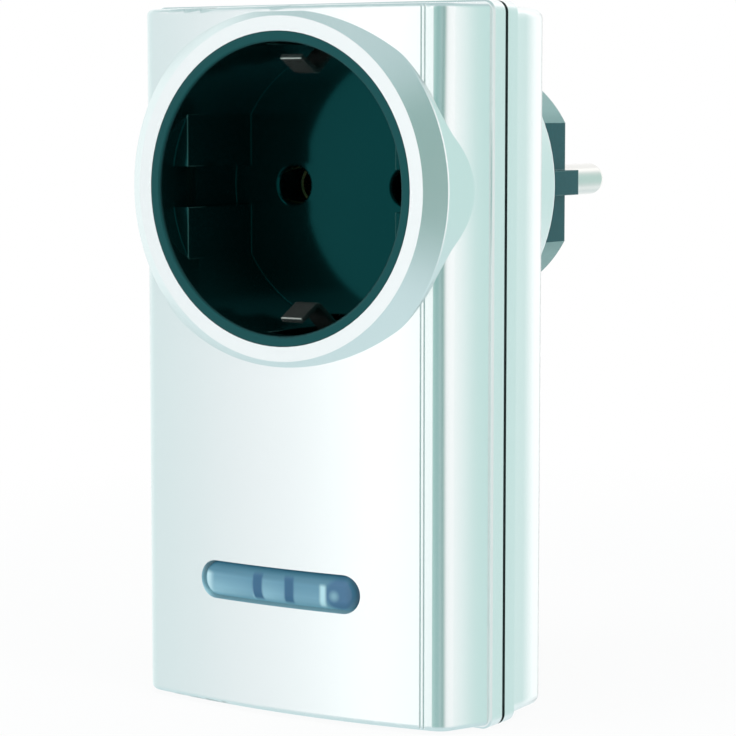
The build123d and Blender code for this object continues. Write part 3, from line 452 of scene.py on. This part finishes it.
# Painted shade on the top edge, and painted light on the lower edge.
blue = graph.mix(height.rise(*EDGE_SHADE_RISE), TOP_EDGE_SHADE, LOW_EDGE_LIGHT)
blue = graph.mix(span * across.between(*POCKET_ENDS), blue, pocket)
blue = graph.mix(ribs * height.between(*RIB_SPAN), blue, RIB_BLUE)
blue = graph.mix(from_spot(LAMP_PLACE).below(*LAMP_WELL), blue, WELL_BLUE)
# Painted highlights: a gleam beside the lamp and a bright line across the crown.
blue = graph.mix(from_spot(GLEAM_PLACE).below(*LAMP_GLEAM), blue, GLEAM_BLUE)
blue = graph.mix(span * across.between(*BRIGHT_LINE), blue, LINE_HIGHLIGHT)
# Painted shade on the right end.
blue = graph.mix(across.above(*DARK_END), blue, END_SHADE)
# Painted glow on the left and lower edges.
steep = graph.split(graph.flat())[1].above(*STEEP)
glowing = steep * height.below(*GLOW_TOP) * across.below(*GLOW_END)
button_blue = graph.finish(
    Base_Color=graph.mix(swirl * SWIRL_SHARE, blue, TOP_EDGE_SHADE),
    Roughness=fine.about(0.16, 0.06),
    IOR=1.46,
    Coat_Weight=0.2,
    Coat_Roughness=0.08,
    Emission_Color=graph.mix(glowing, BLACK, EDGE_GLOW),
    Emission_Strength=1.0,
    Normal=graph.bump(fine, 0.08, GRAIN_RELIEF),
)
dress(button_blue, "learn_button")

# Screws: zinc-plated steel with a turned head. Four hold the case together from deep wells in the rear
# half, and one clamps the triac to its heat sink.
ZINC = (0.66, 0.67, 0.68)
ZINC_DARK = (0.45, 0.46, 0.48)
graph = Graph("zinc_plate")
turned = graph.noise(0.5 * MM, detail=3.0)
zinc = graph.finish(
    Base_Color=graph.mix(turned, ZINC, ZINC_DARK),
    Metallic=1.0,
    Roughness=turned.about(0.34, 0.2),
)
dress(zinc, "case_screws", "triac_screw")

# Circuit boards: glass laminate under green resist, through which the weave shows faintly. Pillars of the
# case clamp the main board, and the receiver's board is fixed to it.
RESIST = (0.015, 0.10, 0.035)
RESIST_LIGHT = (0.03, 0.16, 0.06)
WEAVES_ACROSS = 2200.0
BLOTCH_SHARE = 0.7
WEAVE_SHARE = 0.2
graph = Graph("board_resist")
weave = graph.node("ShaderNodeTexChecker", {}, {"Scale": WEAVES_ACROSS}, output=1)
blotch = graph.noise(6 * MM, detail=3.0)
board_resist = graph.finish(
    Base_Color=graph.mix(blotch * BLOTCH_SHARE + weave * WEAVE_SHARE, RESIST, RESIST_LIGHT),
    Roughness=blotch.about(0.3, 0.12),
    Normal=graph.bump(weave, 0.15, GRAIN_RELIEF),
)
dress(board_resist, "circuit_board", "receiver_board")


def small_finish(name, light, dark, roughness, metallic=0.0):
    """Finish of a small inner part, mottled between two close colours under a fine grain."""
    graph = Graph(name)
    mottle = graph.noise(3 * MM, detail=3.0)
    grain = graph.noise(0.5 * MM)
    return graph.finish(
        Base_Color=graph.mix(mottle, light, dark),
        Metallic=metallic,
        Roughness=grain.about(roughness, 0.16),
        Normal=graph.bump(grain, 0.2, GRAIN_RELIEF),
    )


# Small inner parts and insulated leads, soldered to the main board or fixed beside it. Each has the finish
# of its kind, such as moulded black for the chip, the triac and the switch, dipped blue for the surge
# absorber and a dark sleeve for the smoothing capacitor's can.
part_black = small_finish("part_black", (0.02, 0.02, 0.02), (0.035, 0.035, 0.035), 0.5)
retainer_grey = small_finish("retainer_grey", (0.32, 0.33, 0.34), (0.26, 0.27, 0.28), 0.5)
plunger_white = small_finish("plunger_white", (0.80, 0.79, 0.76), (0.70, 0.69, 0.66), 0.4)
sink_metal = small_finish("sink_metal", (0.75, 0.76, 0.77), (0.62, 0.63, 0.65), 0.4, metallic=1.0)
core_grey = small_finish("core_grey", (0.10, 0.10, 0.11), (0.15, 0.15, 0.16), 0.55)
winding_copper = small_finish("winding_copper", (0.50, 0.20, 0.07), (0.35, 0.12, 0.04), 0.25, metallic=0.7)
capacitor_yellow = small_finish("capacitor_yellow", (0.72, 0.56, 0.06), (0.62, 0.46, 0.05), 0.3)
capacitor_red = small_finish("capacitor_red", (0.30, 0.04, 0.03), (0.22, 0.03, 0.02), 0.3)
can_sleeve = small_finish("can_sleeve", (0.02, 0.03, 0.09), (0.03, 0.045, 0.12), 0.28)
absorber_blue = small_finish("absorber_blue", (0.04, 0.10, 0.30), (0.03, 0.07, 0.22), 0.45)
fuse_white = small_finish("fuse_white", (0.78, 0.76, 0.70), (0.66, 0.64, 0.58), 0.4)
lead_brown = small_finish("lead_brown", (0.12, 0.045, 0.02), (0.09, 0.03, 0.015), 0.4)
lead_blue = small_finish("lead_blue", (0.02, 0.09, 0.30), (0.015, 0.06, 0.22), 0.4)
dress(part_black, "switch_body", "triac", "controller_chip")
dress(retainer_grey, "pin_retainer")
dress(plunger_white, "switch_plunger")
dress(sink_metal, "heat_sink")
dress(core_grey, "choke_core")
dress(winding_copper, "choke_winding", "aerial_coil")
dress(capacitor_yellow, "filter_capacitor")
dress(capacitor_red, "dropper_capacitor")
dress(can_sleeve, "smoothing_capacitor")
dress(absorber_blue, "surge_absorber")
dress(fuse_white, "fuse")
dress(lead_brown, "live_lead_in", "live_lead_out")
dress(lead_blue, "neutral_lead", "neutral_link")

# Lamp: a tinted clear resin dome under the right end of the button, cast round its chip and soldered to
# the main board. The resin is a little hazy.
LAMP_TINT = (0.55, 0.68, 0.90)
LAMP_DEPTH = (0.38, 0.52, 0.80)
graph = Graph("lamp_resin")
haze = graph.noise(1 * MM)
lamp_resin = graph.finish(
    Base_Color=graph.mix(haze, LAMP_TINT, LAMP_DEPTH),
    Roughness=haze.about(0.12, 0.08),
    Transmission_Weight=0.6,
    IOR=1.5,
)
dress(lamp_resin, "status_led")

# Floor: a sheet of white paper under the case's lower end. It glows to the camera so that the ground is
# white, but a little less near the case, so that a faint shadow stays there.
low, high = cad_box
REACH = 3.0
WHITE = (1, 1, 1)
PAPER = (0.88, 0.88, 0.88)
PAPER_SHADE = (0.85, 0.85, 0.85)
PAPER_GLOW = (0.92, 1.0)
SHADOW_REACH = (0.08, 0.22)
CLOUDING = 0.4
floor_mesh = bpy.data.meshes.new("floor")
corners = [(-REACH, -REACH), (REACH, -REACH), (REACH, REACH), (-REACH, REACH)]
floor_mesh.from_pydata([(x, y, low[2]) for x, y in corners], [], [(0, 1, 2, 3)])
floor = bpy.data.objects.new("floor", floor_mesh)
bpy.context.scene.collection.objects.link(floor)
graph = Graph("paper")
tone = graph.noise(CLOUDING)
graph.finish(Base_Color=graph.mix(tone, PAPER, PAPER_SHADE), Roughness=tone.about(0.7, 0.1))
glow = graph.node("ShaderNodeEmission", {}, {"Color": WHITE, "Strength": 1.0})
to_camera = graph.node("ShaderNodeLightPath", output="Is Camera Ray")
across, through, up = graph.place()
away = (across * across + through * through).root().rise(*SHADOW_REACH, *PAPER_GLOW)
paper = Value(graph, graph.shader.outputs[0])
sheet = graph.node("ShaderNodeMixShader", {}, {0: to_camera * away, 1: paper, 2: glow})
graph.join(sheet, graph.tree.nodes["Material Output"].inputs["Surface"])
floor_mesh.materials.append(graph.owner)
floor.visible_glossy = False


def soft_lamp(name, turn, rise, distance, width, height, watts):
    """Rectangular lamp aimed at the case's middle, placed by its turn from -Y and its rise in degrees."""
    turn, rise = math.radians(turn), math.radians(rise)
    centre = Vector(((low[axis] + high[axis]) / 2 for axis in range(3)))
    aim = Vector((math.sin(turn) * math.cos(rise), -math.cos(turn) * math.cos(rise), math.sin(rise)))
    lamp = bpy.data.lights.new(name, "AREA")
    lamp.shape = "RECTANGLE"
    lamp.size = width
    lamp.size_y = height
    lamp.energy = watts
    holder = bpy.data.objects.new(name, lamp)
    holder.location = centre + aim * distance
    holder.rotation_euler = aim.to_track_quat("Z", "Y").to_euler()
    holder.visible_glossy = False
    bpy.context.scene.collection.objects.link(holder)


# Lamps: a key to the left of the face, a fill along the right flank and one overhead, hung about a metre
# away. What shows of them in the gloss is in the surround.
soft_lamp("key_lamp", turn=-34, rise=12, distance=1.0, width=0.4, height=0.6, watts=5.0)
soft_lamp("side_lamp", turn=78, rise=15, distance=1.0, width=0.4, height=0.8, watts=3.0)
soft_lamp("top_lamp", turn=20, rise=78, distance=0.9, width=0.7, height=0.7, watts=4.0)

# Surround: pale walls with a bright soft box left of the face, one right of the flank and one behind, a dim
# gap where the camera stands and grey-green walls between. Each stop is a turn from -Y in degrees and a
# colour. Above is a pale ceiling, and below is a pale bench.
SOFT = (0.74, 0.74, 0.74)
BRIGHT = (0.88, 0.88, 0.88)
PALE = (0.465, 0.555, 0.558)
NEAR_DIM = (0.18, 0.35, 0.33)
DIM = (0.055, 0.185, 0.160)
WALL = (0.39, 0.543, 0.521)
STUDIO = [
    (-180, SOFT),
    (-150, SOFT),
    (-110, (0.60, 0.67, 0.67)),
    (-64, PALE),
    (-48, (0.56, 0.60, 0.61)),
    (-40, (0.635, 0.65, 0.66)),
    (-33, (0.66, 0.68, 0.69)),
    (-26, (0.735, 0.75, 0.755)),
    (-20, BRIGHT),
    (-10, BRIGHT),
    (-1, NEAR_DIM),
    (12, (0.15, 0.30, 0.28)),
    (26, (0.18, 0.32, 0.31)),
    (36, (0.27, 0.37, 0.365)),
    (43, DIM),
    (46, DIM),
    (64, SOFT),
    (84, SOFT),
    (106, WALL),
    (152, WALL),
    (157, (0.50, 0.60, 0.59)),
    (162, (0.66, 0.70, 0.70)),
    (167, BRIGHT),
    (174, BRIGHT),
    (180, SOFT),
]
CEILING = (0.308, 0.41, 0.418)
CEILING_EDGE = (0.7, 0.15)
BENCH = (0.42, 0.53, 0.545)
BENCH_EDGE = (-0.45, 0.35)
SURROUND_LEVEL = 1.5
AMBIENT = 0.8
graph = Graph("studio", "worlds", "Background")
across, through, up = graph.split(graph.node("ShaderNodeTexCoord", output="Generated"))
turn = graph.node("ShaderNodeMath", {"operation": "ARCTAN2"}, {0: across, 1: 0 - through})
walls = graph.node(
    "ShaderNodeValToRGB",
    {"stops": [(degrees / 360 + 0.5, colour) for degrees, colour in STUDIO]},
    {"Fac": turn / math.tau + 0.5},
)
studio = graph.mix(up.above(*CEILING_EDGE), walls, CEILING)
studio = graph.mix(up.below(*BENCH_EDGE), studio, BENCH)
to_camera = graph.node("ShaderNodeLightPath", output="Is Camera Ray")
through_glass = graph.node("ShaderNodeLightPath", output="Is Transmission Ray")
in_gloss = graph.node("ShaderNodeLightPath", output="Is Glossy Ray")
plain = to_camera + through_glass * (1 - to_camera)
gloss = in_gloss * (1 - plain)
bpy.context.scene.world = graph.finish(
    Color=graph.mix(plain, studio, WHITE),
    Strength=AMBIENT + plain * (1 - AMBIENT) + gloss * (SURROUND_LEVEL - AMBIENT),
)
